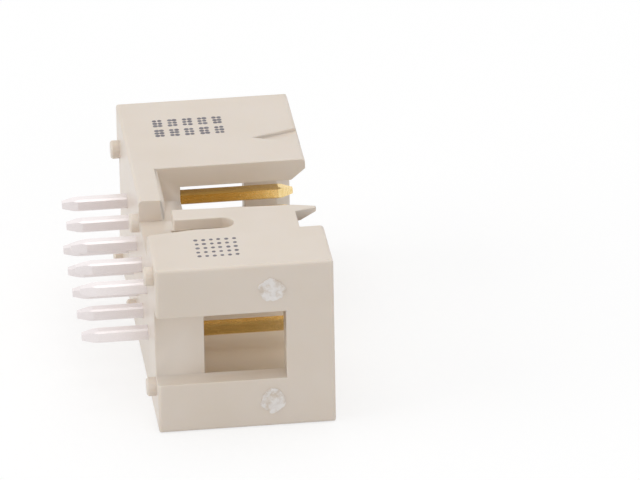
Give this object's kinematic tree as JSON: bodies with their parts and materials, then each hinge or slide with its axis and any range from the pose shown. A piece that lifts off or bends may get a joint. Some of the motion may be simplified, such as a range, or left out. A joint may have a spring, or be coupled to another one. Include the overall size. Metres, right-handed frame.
{
  "type": "idc box header",
  "caption": "Two-row straight box header: a keyed shroud with a side slot, a spring tongue and end windows round square contacts that solder through a board.",
  "frame": {"origin": "centre of the contact grid, on the board's face that the standoff feet stand on", "axes": "+X along the mating direction, +Y along the contact rows, +Z out of the keyed long side, which lies uppermost"},
  "size_m": [0.0122, 0.0202, 0.0088],
  "materials": {
    "shroud": "fine moulded satin",
    "contact": "gold flash on the mating end, dull tin on the tail"
  },
  "bodies": {
    "root": {"shroud": "shroud", "pin_1": "contact", "pin_2": "contact", "pin_3": "contact", "pin_4": "contact", "pin_5": "contact", "pin_6": "contact", "pin_7": "contact", "pin_8": "contact", "pin_9": "contact", "pin_10": "contact"}
  },
  "joints": []
}
